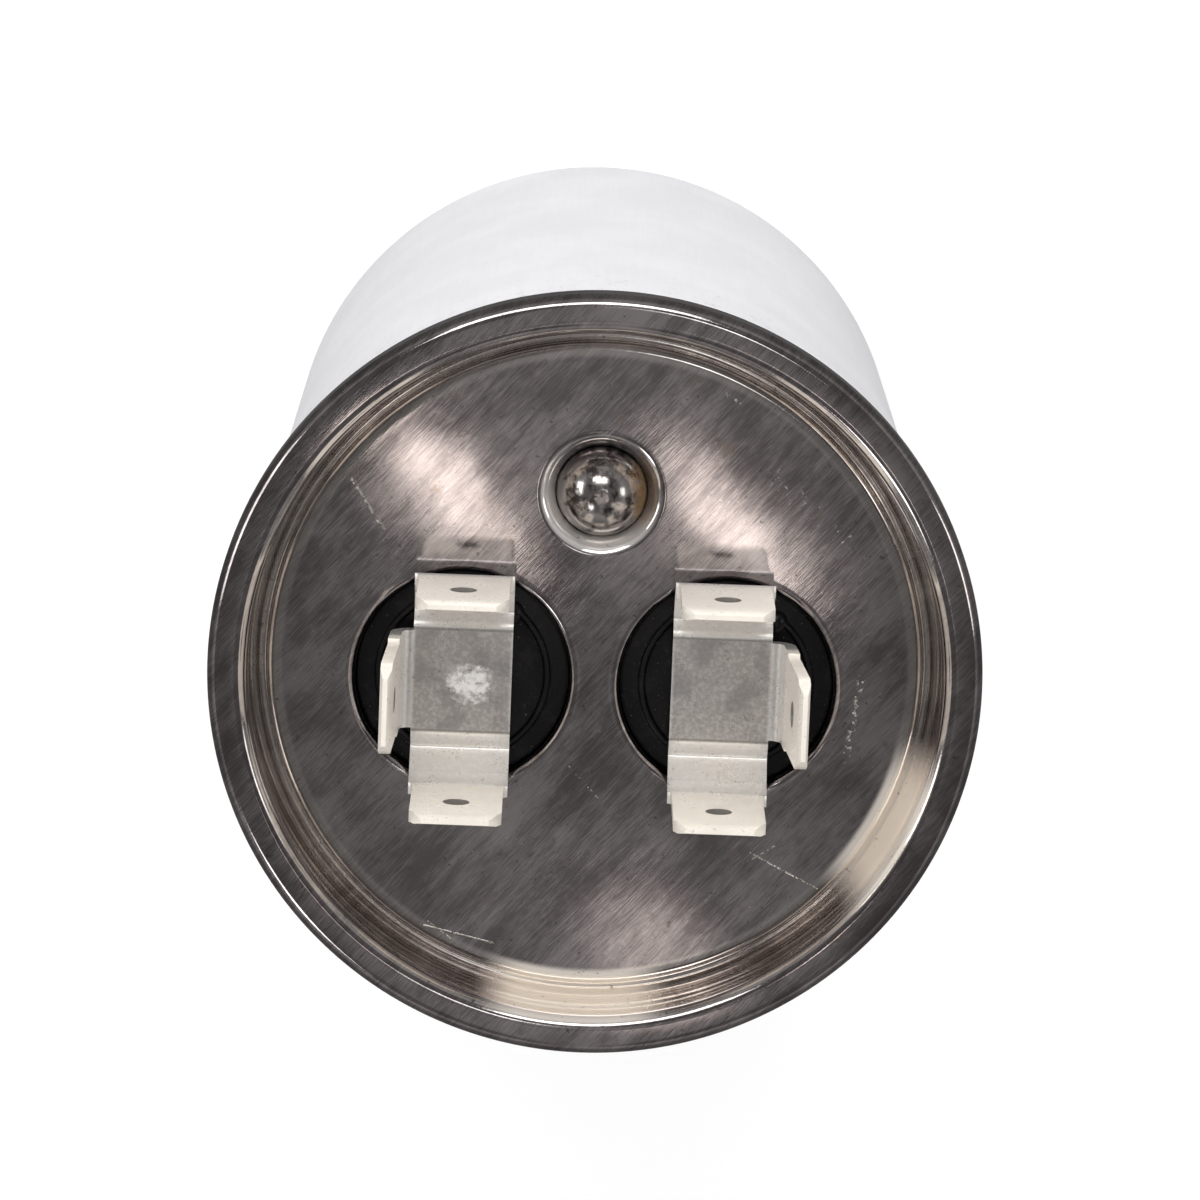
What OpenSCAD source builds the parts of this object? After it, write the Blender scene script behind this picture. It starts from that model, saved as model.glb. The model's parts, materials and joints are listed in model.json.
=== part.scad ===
// Motor run capacitor in a round drawn can: a sealed metallized-film winding under a
// double-seamed lid that carries two three-blade push-on terminals and a fill ball.
// Axis of the can is Z. The origin is the centre of the flat base, +Z points to the lid.
// The terminals stand left (-X) and right (+X), the fill ball lies toward +Y.

/* [Can] */
// Outside diameter of the can body (mm)
can_d = 50; // [49:0.5:52]
// Height from the flat base to the crest of the seam (mm)
can_h = 90; // [80:1:120]
// Wall thickness of the can (mm)
can_wall = 0.5; // [0.45:0.05:0.55]
// Thickness of the can's base (mm)
base_t = 0.8; // [0.7:0.1:1.2]
// Outside corner radius round the base (mm)
base_r = 2; // [1.6:0.1:2.2]

/* [Lid] */
// Sheet thickness of the lid (mm)
lid_t = 0.45; // [0.4:0.01:0.45]
// Depth of the flat panel under the crest of the seam (mm)
panel_depth = 4.66; // [4.3:0.02:5.5]
// Depth of the countersink groove under the panel (mm)
groove_depth = 1.04; // [1:0.02:1.3]

/* [Fill ball] */
// Diameter of the steel ball that closes the fill hole (mm)
ball_d = 6.35; // [6:0.05:6.35]
// Depth of the ball's centre under the panel (mm)
ball_sink = 1.6; // [1.4:0.05:1.9]
// Distance of the fill hole from the can's axis (mm)
fill_y = 12.2; // [11.5:0.1:14]

/* [Terminals] */
// Distance between the two insulating bushes, centre to centre (mm)
bush_pitch = 18.4; // [18.2:0.1:19.4]
// Offset of the row of terminals from the can's axis (mm)
row_y = -1.1; // [-2:0.1:0]
// Diameter of the hole that each bush fills in the lid (mm)
bush_d = 15; // [14.6:0.1:15]
// Width of a push-on blade (mm)
blade_w = 6.3; // [6.1:0.05:6.35]
// Thickness of the terminal sheet (mm)
blade_t = 0.8; // [0.7:0.05:0.8]
// Height of the blades over the plate (mm)
blade_h = 11.5; // [10:0.1:13]
// Outward lean of the left terminal's side blade (degrees)
left_lean = 2; // [0:0.5:6]
// Outward lean of the right terminal's side blade (degrees)
right_lean = 4; // [0:0.5:6]
// Height of the plate's top over the lid panel (mm)
plate_rise = 1.2; // [1.1:0.05:1.6]
// Sideways offset of the right terminal from the centre of its bush (mm)
right_shift = -0.4; // [-0.5:0.05:0]

/* [Shown] */
// Which node to show

/* [Hidden] */

can_r = can_d / 2;
bore_r = can_r - can_wall;              // inside radius of the can
panel_z = can_h - panel_depth;          // top face of the flat panel
bush_r = bush_d / 2;
post_x = bush_pitch / 2;
round_fn = 52;                          // facets round the can and the lid
small_fn = 32;                          // facets round the small turned pieces

// Seam section, measured from the can's wall outward and from the crest down
hook_gap = 0.65;                        // room between the wall and the can's folded-down hook
hook_c = [can_r + hook_gap / 2, can_h - 1.45];
hook_in = hook_gap / 2;
hook_out = hook_in + can_wall;
hook_low = can_h - 2.35;                // free edge of the can's hook
hook_step = 30;                         // degrees to a facet in the hook's fold
crest_in = [can_r, can_h - 0.95];       // centres of the two rounded corners of the crest
crest_out = [can_r + 0.85, can_h - 0.9];
seam_r = crest_out[0] + 0.9;            // outermost radius of the seam
curl_out = 0.375 + lid_t;
curl_c = [seam_r - curl_out, can_h - 2.45];
roll_in = 0.08;                         // the seaming roll leaves the can's wall pressed in by this
roll_low = curl_c[1] - curl_out - 0.2;  // from just under the seam up to the fold
knee_z = can_h - 2;                     // the chuck wall leans inward below this height
wall_r = crest_in[0] - 0.95;            // visible face of the chuck wall at the crest
groove_c = [wall_r - 0.9, panel_z - groove_depth + 0.3];
groove_r = 0.3;
lean = atan((wall_r - groove_c[0] - groove_r) / (knee_z - groove_c[1]));

// Insulating bush and what hangs from it
collar_low = panel_z - 2.2;             // lower end of the turned-down collar round each hole
bush_top = panel_z - 1.2;
collar_r = 0.5;                         // rounding of the collar's upper edge
flange_low = collar_low - 1.54;
plate_low = panel_z + plate_rise - blade_t;
washer_low = flange_low - 0.8;
lead_t = 0.3;
eye_low = washer_low - lead_t;
tail_low = eye_low - 0.6;
shank_r = 1.5;
head_r = 2.4;

// Fill ball and its seat
ball_r = ball_d / 2;
ball_z = panel_z - ball_sink;
well_r = ball_r + 0.03;
well_low = ball_z - 2.44;

// Terminal, measured from the centre of its plate
plate_x = 3.45;                         // half width of the plate and of the strips
plate_y = 3.62;                         // half length of the plate
valley = [4.75, -0.95];                 // top face of the leg where it dips
crest = [6.45, 0.45];                   // and where it crosses the edge of the hole
blade_in = 7;                           // inside face of an end blade
root_z = 1.5;                           // where an end blade becomes narrower than its strip
side_bend = 0.75;                       // inside radius of the side blade's bend
hole_d = 1.8;                           // detent hole in each blade
hole_drop = 4.4;                        // from the tip down to the hole
tip_cut = 1.5;                          // corner cut at a blade's tip
coin = 0.25;                            // thinning of the tip's edge

// Winding package, from the base up
cup_t = 0.6;
pack_low = base_t + cup_t;
spray_t = 0.6;
wind_low = pack_low + spray_t;
wind_h = can_h - 20;
wind_top = wind_low + wind_h;
wind_r = bore_r - 1.9;
core_r = 5;
wrap_t = 0.6;
tab_w = 4;

function arc(c, r, a, b, n) = [for (i = [0:n]) c + r * [cos(a + (b - a) * i / n), sin(a + (b - a) * i / n)]];
function unit(v) = v / norm(v);
function reversed(v) = [for (i = [len(v) - 1:-1:0]) v[i]];
function left_of(v) = [-v[1], v[0]];

// A bent strip: points and left-hand normals along a centre line whose corners are rounded
// to radius r, n facets to a corner; band() gives the outline of the strip, t thick.
function corner(p, q, s, r, n) =
    let (u = unit(q - p), v = unit(s - q), turn = u[0] * v[1] - u[1] * v[0] > 0 ? 1 : -1,
        bend = acos(u * v), cut = r * tan(bend / 2), m = left_of(u) * turn, c = q - u * cut + m * r)
    [for (i = [0:n]) let (a = turn * bend * i / n,
        w = [m[0] * cos(a) - m[1] * sin(a), m[0] * sin(a) + m[1] * cos(a)]) [c - w * r, w * turn]];
function centre_line(P, r, n) = concat(
    [[P[0], left_of(unit(P[1] - P[0]))]],
    [for (i = [1:len(P) - 2]) each corner(P[i - 1], P[i], P[i + 1], r, n)],
    [[P[len(P) - 1], left_of(unit(P[len(P) - 1] - P[len(P) - 2]))]]);
function band(L, t) = concat([for (k = L) k[0] + k[1] * t / 2], reversed([for (k = L) k[0] - k[1] * t / 2]));

module ring(inner, outer, low, high, fn = small_fn) {
    translate([0, 0, low])
        difference() {
            cylinder(r = outer, h = high - low, $fn = fn);
            translate([0, 0, -1]) cylinder(r = inner, h = high - low + 2, $fn = fn);
        }
}

// ---- can and lid ----

// Drawn cup whose open edge is folded outward and down into the seam
module can() {
    color("lightsteelblue")
        rotate_extrude($fn = round_fn)
            polygon(concat(
                [[0, 0]],
                arc([can_r - base_r, base_r], base_r, -90, 0, 4),
                [[can_r, roll_low], [can_r - roll_in, roll_low + 0.8], [can_r - roll_in, hook_c[1] - 0.3]],
                arc(hook_c, hook_in, 180, 0, 180 / hook_step),
                [[hook_c[0] + hook_in, hook_low], [hook_c[0] + hook_out, hook_low]],
                arc(hook_c, hook_out, 0, 180, 180 / hook_step),
                arc([can_r - base_r, base_t + base_r - can_wall], base_r - can_wall, 0, -90, 3),
                [[0, base_t]]));
}

// Section of the lid: panel, rounded edge, groove, leaning wall, crest, curl and tucked hook
module lid_section() {
    edge_c = [groove_c[0] - groove_r - 0.6, panel_z - 0.6];
    polygon(concat(
        [[0, panel_z]],
        arc(edge_c, 0.6, 90, 0, 4),
        arc(groove_c, groove_r, 180, 360 - lean, 5),
        [[wall_r, knee_z]],
        arc(crest_in, 0.95, 180, 90, 4),
        arc(crest_out, 0.9, 90, 0, 4),
        arc(curl_c, curl_out, 0, -180, 6),
        [[curl_c[0] - curl_out, can_h - 1.65], [curl_c[0] - 0.375, can_h - 1.65]],
        arc(curl_c, 0.375, -180, 0, 4),
        arc(crest_out, 0.9 - lid_t, 0, 90, 4),
        arc(crest_in, 0.95 - lid_t, 90, 180, 4),
        [[wall_r + lid_t, knee_z]],
        arc(groove_c, groove_r + lid_t, 360 - lean, 180, 5),
        arc(edge_c, 0.6 - lid_t, 0, 90, 2),
        [[0, panel_z - lid_t]]));
}

// Sheet turned down round a bush hole
module bush_collar() {
    c = [bush_r + collar_r, panel_z - collar_r];
    rotate_extrude($fn = round_fn)
        polygon(concat(
            [[c[0] + 0.2, panel_z]],
            arc(c, collar_r, 90, 180, 4),
            [[bush_r, collar_low], [bush_r + lid_t, collar_low], [c[0], panel_z - lid_t]],
            [[c[0] + 0.2, panel_z - lid_t]]));
}

// Well of the fill hole: a dished mouth, a straight throat and a lip for the ball
module fill_well() {
    c = [4.05, panel_z - 0.5];
    rotate_extrude($fn = small_fn)
        polygon(concat(
            [[c[0] + 0.25, panel_z]],
            arc(c, 0.5, 90, 165, 3),
            [[well_r, panel_z - 1.3], [well_r, well_low + lid_t], [2, well_low + lid_t], [2, well_low],
                [well_r + lid_t, well_low], [well_r + lid_t, panel_z - 1.3 - 0.2],
                [c[0] + 0.12, panel_z - lid_t], [c[0] + 0.25, panel_z - lid_t]]));
}

module lid() {
    color("dimgray")
        difference() {
            union() {
                difference() {
                    rotate_extrude($fn = round_fn) lid_section();
                    for (s = [-1, 1])
                        translate([s * post_x, row_y, panel_z - 1])
                            cylinder(r = bush_r + collar_r, h = 2, $fn = round_fn);
                    translate([0, fill_y, panel_z - 1]) cylinder(r = 4.05, h = 2, $fn = small_fn);
                }
                for (s = [-1, 1]) translate([s * post_x, row_y, 0]) bush_collar();
                translate([0, fill_y, 0]) fill_well();
            }
            translate([0, fill_y, ball_z]) sphere(r = ball_r, $fn = small_fn);
        }
}

// Sealing compound in the room between the lid's crest and the can's fold
module seam_gasket() {
    low = hook_c[1] + hook_out * sin(hook_step);
    color("darkolivegreen")
        rotate_extrude($fn = round_fn)
            polygon(concat(
                [[crest_in[0] - 0.95 + lid_t, low]],
                arc(crest_in, 0.95 - lid_t, 180, 90, 4),
                arc(crest_out, 0.9 - lid_t, 90, 0, 4),
                [[crest_out[0] + 0.9 - lid_t, low]],
                arc(hook_c, hook_out, hook_step, 180 - hook_step, 180 / hook_step - 2)));
}

module fill_ball() {
    color("silver")
        translate([0, fill_y, ball_z]) sphere(r = ball_r, $fn = small_fn);
}

// ---- terminals ----

// Front outline of a blade: strip up to the root, narrower blade, cut corners, round hole
module blade_front(root, tip, low) {
    h = blade_w / 2;
    difference() {
        polygon(concat(
            [[-plate_x, low], [plate_x, low], [plate_x, root - 0.6]],
            arc([plate_x + 0.05, root + 0.05], plate_x + 0.05 - h, 270, 180, 3),
            [[h, tip - tip_cut], [h - tip_cut * 0.55, tip], [-h + tip_cut * 0.55, tip], [-h, tip - tip_cut]],
            arc([-plate_x - 0.05, root + 0.05], plate_x + 0.05 - h, 0, -90, 3),
            [[-plate_x, root - 0.6]]));
        translate([0, tip - hole_drop]) circle(d = hole_d, $fn = 24);
    }
}

// Flat strip with its free edge coined thin
module coined(L, tip, lean_out = 0) {
    difference() {
        polygon(band(L, blade_t));
        for (s = [-1, 1])
            translate(tip)
                rotate(-lean_out)
                polygon([[s * (blade_t / 2 - coin), 0.05], [s * (blade_t / 2 + 0.1), 0.05],
                    [s * (blade_t / 2 + 0.1), -1], [s * blade_t / 2, -0.9]]);
    }
}

// Leg and blade at an end of the plate: dips beside the plate, climbs over the edge of the
// bush and turns straight up
module end_leg() {
    half = blade_t / 2;
    path = [[0, -half], [plate_y + 0.2, -half], [valley[0] + 0.08, valley[1] - half],
        [crest[0] + 0.25, crest[1] - half + 0.15], [blade_in + half, root_z - 0.1],
        [blade_in + half, blade_h]];
    intersection() {
        translate([-plate_x, 0, 0])
            rotate([90, 0, 90])
                linear_extrude(height = 2 * plate_x)
                    coined(centre_line(path, 0.62, 4), [blade_in + half, blade_h]);
        translate([0, 12, 0])
            rotate([90, 0, 0])
                linear_extrude(height = 14)
                    blade_front(root_z + 0.5, blade_h, -3);
    }
}

// Blade bent up from a long edge of the plate, leaning outward by a few degrees
module side_leg(lean_out) {
    half = blade_t / 2;
    x = plate_x + side_bend;
    tip = [x + tan(lean_out) * blade_h + half, blade_h];
    path = [[0, -half], [x + half, -half], tip];
    intersection() {
        translate([0, plate_x, 0])
            rotate([90, 0, 0])
                linear_extrude(height = 2 * plate_x)
                    coined(centre_line(path, side_bend + half, 5), tip, lean_out);
        translate([-1, 0, 0])
            rotate([90, 0, 90])
                linear_extrude(height = 12)
                    blade_front(3.5, blade_h, -2);
    }
}

// One stamped and bent terminal, its side blade toward s along X; the origin is the centre of
// the plate's top face
module terminal(s, lean_out) {
    union() {
        translate([-plate_x, -plate_y, -blade_t]) cube([2 * plate_x, 2 * plate_y, blade_t]);
        end_leg();
        mirror([0, 1, 0]) end_leg();
        if (s > 0) side_leg(lean_out);
        else mirror([1, 0, 0]) side_leg(lean_out);
    }
}

module left_terminal() {
    color("gainsboro")
        translate([-post_x, row_y, panel_z + plate_rise]) terminal(-1, left_lean);
}

module right_terminal() {
    color("gainsboro")
        translate([post_x + right_shift, row_y, panel_z + plate_rise]) terminal(1, right_lean);
}

// ---- bushes and what is riveted through them ----

// Moulded bush: flange under the lid, body in the hole, rim, boss and a domed pip on top
module bush() {
    translate([3.3, 4.5, 0])
        intersection() {
            translate([0, 0, bush_top - 0.5]) sphere(r = 1, $fn = 24);
            translate([0, 0, bush_top - 0.2]) cylinder(r = 1.2, h = 2, $fn = 24);
        }
    rotate_extrude($fn = round_fn)
        polygon([[shank_r, flange_low], [bush_r + 1.1, flange_low], [bush_r + 1.1, collar_low],
            [bush_r, collar_low], [bush_r, bush_top - 0.3], [bush_r - 0.3, bush_top], [6.2, bush_top],
            [6.1, bush_top + 0.3], [5.7, bush_top + 0.3], [5.6, bush_top], [3.3, bush_top],
            [3.1, plate_low], [head_r, plate_low], [head_r, plate_low - 0.6], [shank_r, plate_low - 0.6]]);
}

module left_bush() {
    color("black") translate([-post_x, row_y, 0]) bush();
}

module right_bush() {
    color("black") translate([post_x, row_y, 0]) bush();
}

// Headed stud whose lower end is spread under the lead
module rivet() {
    rotate_extrude($fn = small_fn)
        polygon([[0, plate_low], [head_r, plate_low], [head_r, plate_low - 0.6], [shank_r, plate_low - 0.6],
            [shank_r, eye_low], [head_r, eye_low], [head_r - 0.15, tail_low], [0, tail_low]]);
}

module left_rivet() {
    color("tan") translate([-post_x, row_y, 0]) rivet();
}

module right_rivet() {
    color("tan") translate([post_x, row_y, 0]) rivet();
}

module left_washer() {
    color("silver") translate([-post_x, row_y, 0]) ring(shank_r, 4, washer_low, flange_low);
}

module right_washer() {
    color("silver") translate([post_x, row_y, 0]) ring(shank_r, 4, washer_low, flange_low);
}

// Tinned strip with an eye under the rivet, run out, down and back to a foot
module lead(out, foot, low) {
    path = [[0, eye_low + lead_t / 2], [out, eye_low + lead_t / 2], [out, low + lead_t / 2],
        [foot, low + lead_t / 2]];
    difference() {
        union() {
            translate([0, 0, eye_low]) cylinder(r = 3, h = lead_t, $fn = small_fn);
            translate([0, tab_w / 2, 0])
                rotate([90, 0, 0])
                    linear_extrude(height = tab_w)
                        polygon(band(centre_line(path, 0.6, 3), lead_t));
        }
        translate([0, 0, eye_low - 1]) cylinder(r = shank_r, h = 2, $fn = small_fn);
    }
}

// To the top end of the winding
module left_lead() {
    color("silver")
        translate([-post_x, row_y, 0]) lead(-5, -1.5, wind_top + spray_t);
}

// Down through the core to the bottom end of the winding
module right_lead() {
    color("silver")
        translate([post_x, row_y, 0]) lead(-post_x - 0.8, -post_x + 1.2, wind_low);
}

// ---- winding package ----

// Metallized film wound on the core
module winding() {
    color("lightgray") ring(core_r, wind_r, wind_low, wind_top, round_fn);
}

module core_tube() {
    color("ivory") ring(core_r - 1, core_r, wind_low, wind_top + 1.5);
}

// Sprayed metal over the bottom end of the winding, closed across the core
module bottom_spray() {
    color("darkgray")
        translate([0, 0, pack_low]) cylinder(r = wind_r, h = spray_t, $fn = round_fn);
}

module top_spray() {
    color("darkgray") ring(core_r, wind_r, wind_top, wind_top + spray_t, round_fn);
}

module film_wrap() {
    color("khaki") ring(wind_r, wind_r + wrap_t, pack_low, wind_top + spray_t, round_fn);
}

// Insulating cup under the winding
module bottom_cup() {
    r = wind_r + wrap_t;
    color("white")
        rotate_extrude($fn = round_fn)
            polygon([[0, base_t], [r - 0.4, base_t], [r + cup_t, base_t + 1.8], [r + cup_t, base_t + 14],
                [r, base_t + 14], [r, pack_low], [0, pack_low]]);
}

// Ring that holds the winding down, between its top end and the lid
module top_spacer() {
    color("white")
        ring(can_r - 6.4, can_r - 3.6, wind_top + spray_t, panel_z - lid_t, round_fn);
}

can();
lid();
seam_gasket();
fill_ball();
left_terminal();
right_terminal();
left_bush();
right_bush();
left_rivet();
right_rivet();
left_washer();
right_washer();
left_lead();
right_lead();
winding();
core_tube();
bottom_spray();
top_spray();
film_wrap();
bottom_cup();
top_spacer();
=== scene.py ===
"""Looks of a round motor run capacitor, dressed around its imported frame.

The can, the lid, the bushes and the fill ball are remodelled at a finer step and the terminals
get broken edges, all inside the CAD model's box; the sealed inner pieces keep their CAD meshes.
"""

import json
import logging
import math
from dataclasses import dataclass, field
from enum import Enum

import bmesh
import bpy
from mathutils import Matrix, Vector


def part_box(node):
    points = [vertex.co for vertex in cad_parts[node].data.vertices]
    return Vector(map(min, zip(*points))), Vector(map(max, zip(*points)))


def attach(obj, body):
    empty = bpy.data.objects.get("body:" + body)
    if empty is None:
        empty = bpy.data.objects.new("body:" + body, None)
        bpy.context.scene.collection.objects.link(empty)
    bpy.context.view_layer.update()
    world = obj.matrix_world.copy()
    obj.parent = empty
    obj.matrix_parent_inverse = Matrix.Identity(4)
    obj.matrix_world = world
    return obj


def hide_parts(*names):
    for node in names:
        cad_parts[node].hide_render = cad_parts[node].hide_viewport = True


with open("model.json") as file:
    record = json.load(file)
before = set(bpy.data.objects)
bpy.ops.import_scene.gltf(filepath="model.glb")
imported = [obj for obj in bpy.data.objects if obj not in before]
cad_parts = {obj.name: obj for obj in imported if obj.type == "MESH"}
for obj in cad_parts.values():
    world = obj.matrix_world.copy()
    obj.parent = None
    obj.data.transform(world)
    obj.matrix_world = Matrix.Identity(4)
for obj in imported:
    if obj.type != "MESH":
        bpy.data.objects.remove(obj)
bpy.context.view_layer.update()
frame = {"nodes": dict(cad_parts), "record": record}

MM = 0.001
MERGE_GAP = 1e-7  # points closer than this are one, in metres
SHARP_ANGLE = 35.0  # edges over this stay sharp, in degrees
LOG = logging.getLogger("capacitor")
Colour = tuple[float, float, float]
Socket = bpy.types.NodeSocket

WHITE: Colour = (1.0, 1.0, 1.0)
BLACK: Colour = (0.0, 0.0, 0.0)


class Ramp(Enum):
    """How a mask runs between its two ends."""

    SOFT = "SMOOTHSTEP"
    STRAIGHT = "LINEAR"


class MixSocket(Enum):
    """Which sockets of a Mix node hold its two colours and its result."""

    FIRST = 6
    SECOND = 7
    RESULT = 2


# ---------------------------------------------------------------- materials


@dataclass
class NodeSketch:
    """A material's node tree, with short methods for the nodes that the finishes share."""

    name: str
    material: bpy.types.Material = field(init=False)
    tree: bpy.types.NodeTree = field(init=False)
    shader: bpy.types.Node = field(init=False)
    mm: Socket = field(init=False)

    def __post_init__(self) -> None:
        """Makes the material with one Principled shader, and the place in millimetres."""
        self.material = bpy.data.materials.new(self.name)
        self.material.use_nodes = True
        self.tree = self.material.node_tree
        self.shader = next(n for n in self.tree.nodes if n.type == "BSDF_PRINCIPLED")
        coords = self.tree.nodes.new("ShaderNodeTexCoord")
        self.mm = self.mapped(coords.outputs["Object"], scale=(1 / MM,) * 3)

    def node(self, kind: str, **values: object) -> bpy.types.Node:
        """Adds a node and sets its properties.

        Args:
            kind: The node's type.
            **values: Properties by name.

        Returns:
            The node.
        """
        made = self.tree.nodes.new(kind)
        for key, value in values.items():
            setattr(made, key, value)
        return made

    def feed(self, socket: Socket, value: object) -> None:
        """Links a socket into another, or writes a plain value to it.

        Args:
            socket: The input to feed.
            value: A socket, a number, a vector or a colour.
        """
        if isinstance(value, bpy.types.NodeSocket):
            self.tree.links.new(value, socket)
        elif isinstance(value, tuple) and len(value) == 3 and socket.type == "RGBA":
            socket.default_value = (*value, 1.0)
        else:
            socket.default_value = value

    def mapped(
        self,
        vector: Socket,
        scale: tuple = (1, 1, 1),
        turn: float = 0.0,
        shift: tuple = (0, 0, 0),
    ) -> Socket:
        """Scales, turns about Z and shifts a vector.

        Args:
            vector: The coordinates to change.
            scale: Factor along each axis, applied before the turn.
            turn: Turn about Z in degrees.
            shift: Offset added at the end.

        Returns:
            The changed vector.
        """
        made = self.node("ShaderNodeMapping")
        self.feed(made.inputs["Vector"], vector)
        made.inputs["Scale"].default_value = scale
        made.inputs["Rotation"].default_value = (0, 0, math.radians(turn))
        made.inputs["Location"].default_value = shift
        return made.outputs[0]

    def noise(
        self, scale: float, detail: float, rough: float = 0.55, vector: Socket | None = None
    ) -> Socket:
        """A noise value.

        Args:
            scale: Features per unit of the vector.
            detail: Octaves.
            rough: How strong the finer octaves are.
            vector: The coordinates, which are millimetres on the object by default.

        Returns:
            The value, 0 to 1.
        """
        made = self.node("ShaderNodeTexNoise")
        self.feed(made.inputs["Vector"], vector or self.mm)
        made.inputs["Scale"].default_value = scale
        made.inputs["Detail"].default_value = detail
        made.inputs["Roughness"].default_value = rough
        return made.outputs[0]

    def grain(self, along: float, across: float, turn: float, detail: float) -> Socket:
        """Streaks that run along one direction in the XY plane.

        Args:
            along: Features per millimetre along the streaks.
            across: Features per millimetre across them.
            turn: Direction of the streaks from X, in degrees.
            detail: Octaves of the noise.

        Returns:
            The streak value, 0 to 1.
        """
        turned = self.mapped(self.mm, turn=-turn)
        return self.noise(1.0, detail, 0.6, self.mapped(turned, scale=(along, across, 1)))

    def level(self, value: Socket, low: float, high: float, kind: Ramp = Ramp.SOFT) -> Socket:
        """A mask that is 0 at low, 1 at high and slopes between them.

        Args:
            value: The value to compare.
            low: Where the mask is 0; it may be the larger of the two.
            high: Where the mask is 1.
            kind: The slope's form.

        Returns:
            The mask.
        """
        made = self.node("ShaderNodeMapRange", clamp=True)
        made.interpolation_type = kind.value
        self.feed(made.inputs["Value"], value)
        flip = low > high
        made.inputs["From Min"].default_value = high if flip else low
        made.inputs["From Max"].default_value = low if flip else high
        made.inputs["To Min"].default_value = 1.0 if flip else 0.0
        made.inputs["To Max"].default_value = 0.0 if flip else 1.0
        return made.outputs[0]

    def spread(self, value: Socket, low: float, high: float) -> Socket:
        """Maps 0 to 1 onto another range.

        Args:
            value: The value to map.
            low: What 0 becomes.
            high: What 1 becomes.

        Returns:
            The mapped value.
        """
        made = self.node("ShaderNodeMapRange", clamp=True)
        self.feed(made.inputs["Value"], value)
        made.inputs["To Min"].default_value = low
        made.inputs["To Max"].default_value = high
        return made.outputs[0]

    def math(self, word: str, a: object, b: object = 0.0) -> Socket:
        """One Math node.

        Args:
            word: Its operation.
            a: The first value.
            b: The second value, where the operation has one.

        Returns:
            The result.
        """
        made = self.node("ShaderNodeMath", operation=word)
        self.feed(made.inputs[0], a)
        self.feed(made.inputs[1], b)
        return made.outputs[0]

    def product(self, first: object, *others: object) -> Socket:
        """Multiplies values in their order.

        Args:
            first: The first value.
            *others: The values to multiply it by.

        Returns:
            The product.
        """
        for value in others:
            first = self.math("MULTIPLY", first, value)
        return first

    def weigh(self, *parts: tuple[Socket, float]) -> Socket:
        """Adds two values, each times its weight.

        Args:
            *parts: Each value and its weight.

        Returns:
            The sum.
        """
        return self.math("ADD", *[self.product(value, weight) for value, weight in parts])

    def axes(self, vector: Socket | None = None) -> list[Socket]:
        """The X, Y and Z values of a vector.

        Args:
            vector: The vector, which is the place in millimetres by default.

        Returns:
            The three values.
        """
        made = self.node("ShaderNodeSeparateXYZ")
        self.feed(made.inputs[0], vector or self.mm)
        return list(made.outputs)

    def reach(self, centre: tuple[float, float]) -> Socket:
        """Distance from a vertical axis.

        Args:
            centre: Where the axis stands in plan, in millimetres.

        Returns:
            The distance in millimetres.
        """
        made = self.node("ShaderNodeVectorMath", operation="DISTANCE")
        self.feed(made.inputs[0], self.mapped(self.mm, scale=(1, 1, 0)))
        made.inputs[1].default_value = (*centre, 0)
        return made.outputs["Value"]

    def blend(self, amount: object, a: object, b: object) -> Socket:
        """Mixes two colours.

        Args:
            amount: Share of the second colour.
            a: The first colour.
            b: The second colour.

        Returns:
            The mixed colour.
        """
        made = self.node("ShaderNodeMix", data_type="RGBA", blend_type="MIX")
        self.feed(made.inputs["Factor"], amount)
        self.feed(made.inputs[MixSocket.FIRST.value], a)
        self.feed(made.inputs[MixSocket.SECOND.value], b)
        return made.outputs[MixSocket.RESULT.value]

    def bump(self, height: Socket, depth: float, under: Socket | None = None) -> Socket:
        """A bumped normal.

        Args:
            height: Height, 0 to 1.
            depth: What a height of 1 is, in millimetres.
            under: The normal that it is added to.

        Returns:
            The normal.
        """
        made = self.node("ShaderNodeBump")
        made.inputs["Strength"].default_value = 1.0
        made.inputs["Distance"].default_value = depth * MM
        self.feed(made.inputs["Height"], height)
        if under:
            self.feed(made.inputs["Normal"], under)
        return made.outputs[0]

    def scratch(self, start: tuple, end: tuple, width: float, breakup: float) -> Socket:
        """A straight scratch on the XY plane, broken up by noise.

        Args:
            start: One end in plan, in millimetres.
            end: The other end.
            width: Half its width in millimetres.
            breakup: Noise level under which it is gone.

        Returns:
            The scratch's mask.
        """
        flat = self.mapped(self.mm, scale=(1, 1, 0))
        run = Vector((end[0] - start[0], end[1] - start[1], 0))
        away = self.node("ShaderNodeVectorMath", operation="SUBTRACT")
        self.feed(away.inputs[0], flat)
        away.inputs[1].default_value = (*start, 0)
        along = self.node("ShaderNodeVectorMath", operation="DOT_PRODUCT")
        self.feed(along.inputs[0], away.outputs[0])
        along.inputs[1].default_value = run / run.length_squared
        part = self.node("ShaderNodeClamp")
        self.feed(part.inputs[0], along.outputs["Value"])
        foot = self.node("ShaderNodeVectorMath", operation="SCALE")
        foot.inputs[0].default_value = run
        self.feed(foot.inputs["Scale"], part.outputs[0])
        gap = self.node("ShaderNodeVectorMath", operation="DISTANCE")
        self.feed(gap.inputs[0], away.outputs[0])
        self.feed(gap.inputs[1], foot.outputs[0])
        line = self.level(gap.outputs["Value"], width, width * 0.3)
        return self.product(line, self.level(self.noise(2.6, 3.0), breakup, breakup + 0.12))

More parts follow.
